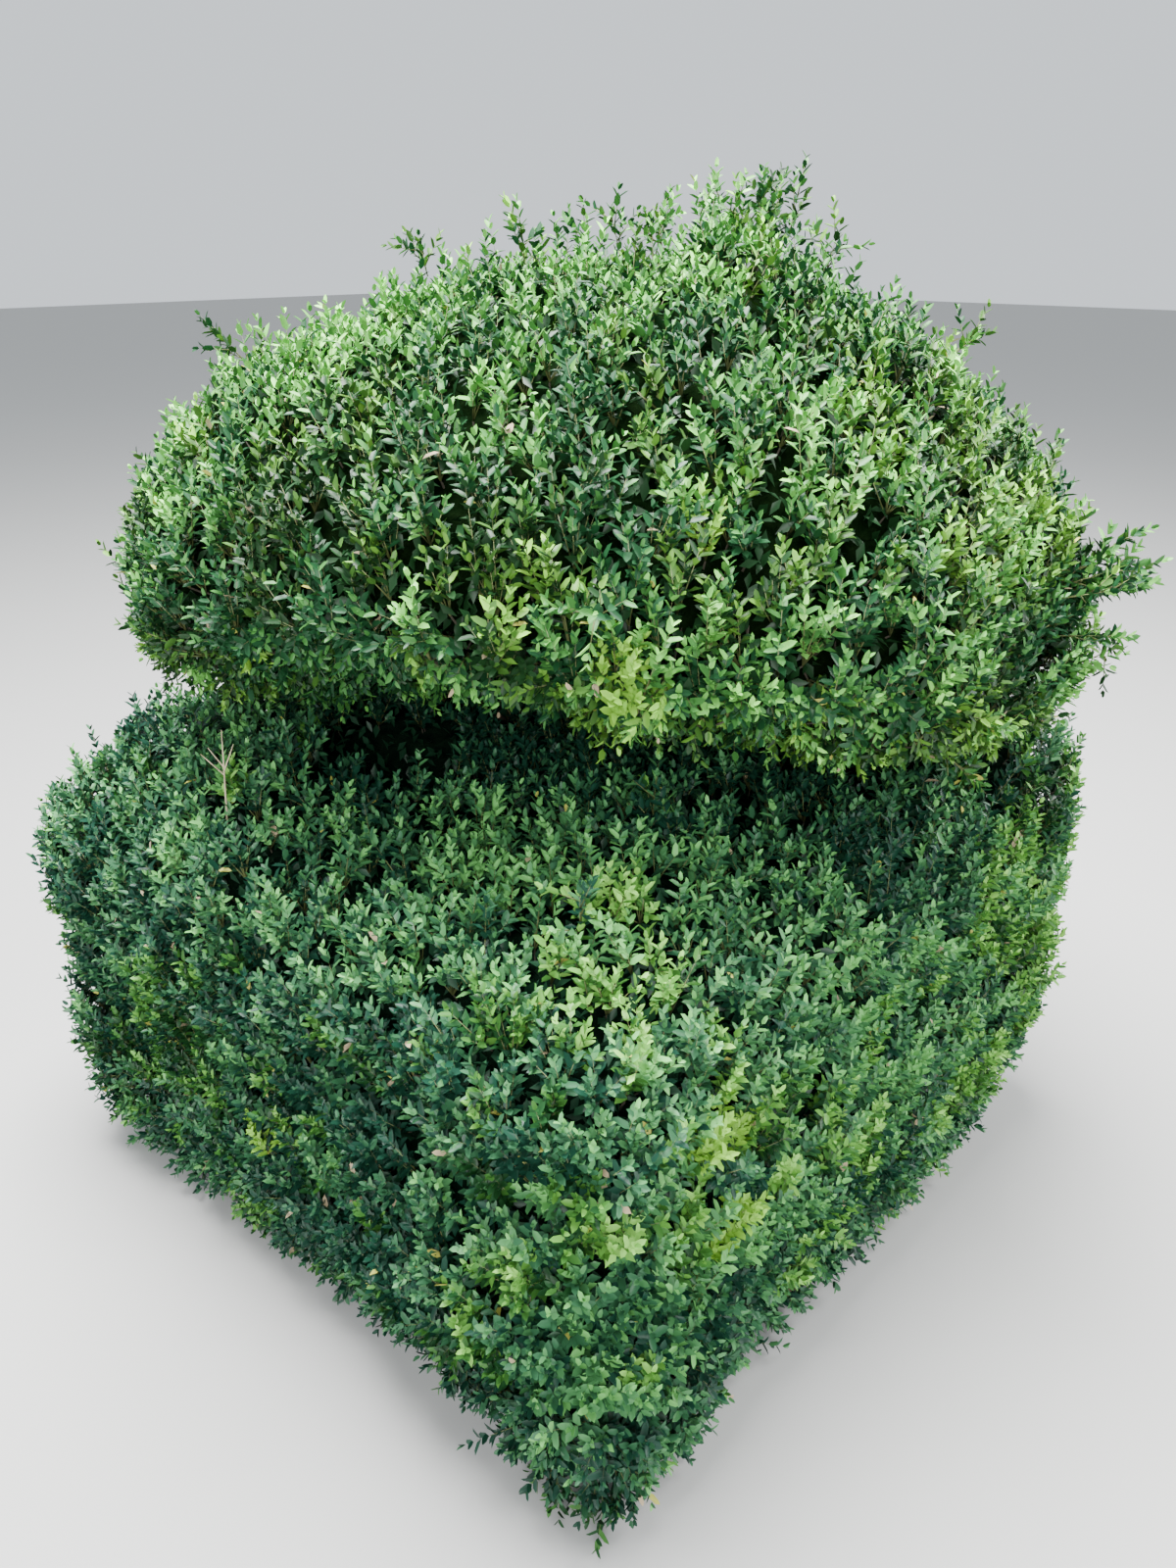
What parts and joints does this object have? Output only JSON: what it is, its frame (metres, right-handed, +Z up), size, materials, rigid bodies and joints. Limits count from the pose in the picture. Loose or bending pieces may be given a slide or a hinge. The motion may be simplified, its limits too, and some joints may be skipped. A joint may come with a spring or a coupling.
{
  "type": "clipped box shrub, ball on square block",
  "caption": "Evergreen box shrub clipped as a round ball standing on a rounded square block, rooted in the ground, with its hidden stem and boughs.",
  "frame": {"origin": "middle of the flat cut under the stem, at ground level", "axes": "+Z up along the stem, X and Y along the sides of the square block; the picture looks at the corner between -X and -Y"},
  "size_m": [1.5066, 1.5794, 1.6953],
  "materials": {
    "bark": "rough",
    "leaves_block": "waxy",
    "leaves_ball": "waxy",
    "dead_wood": "dry"
  },
  "bodies": {
    "root": {"trunk": "bark", "bough_leader": "bark", "bough_riser_1": "bark", "bough_riser_2": "bark", "bough_riser_3": "bark", "bough_riser_4": "bark", "bough_side_1": "bark", "bough_side_2": "bark", "bough_side_3": "bark", "bough_side_4": "bark", "foliage_block": "leaves_block", "foliage_ball": "leaves_ball", "dead_twig": "dead_wood"}
  },
  "joints": []
}
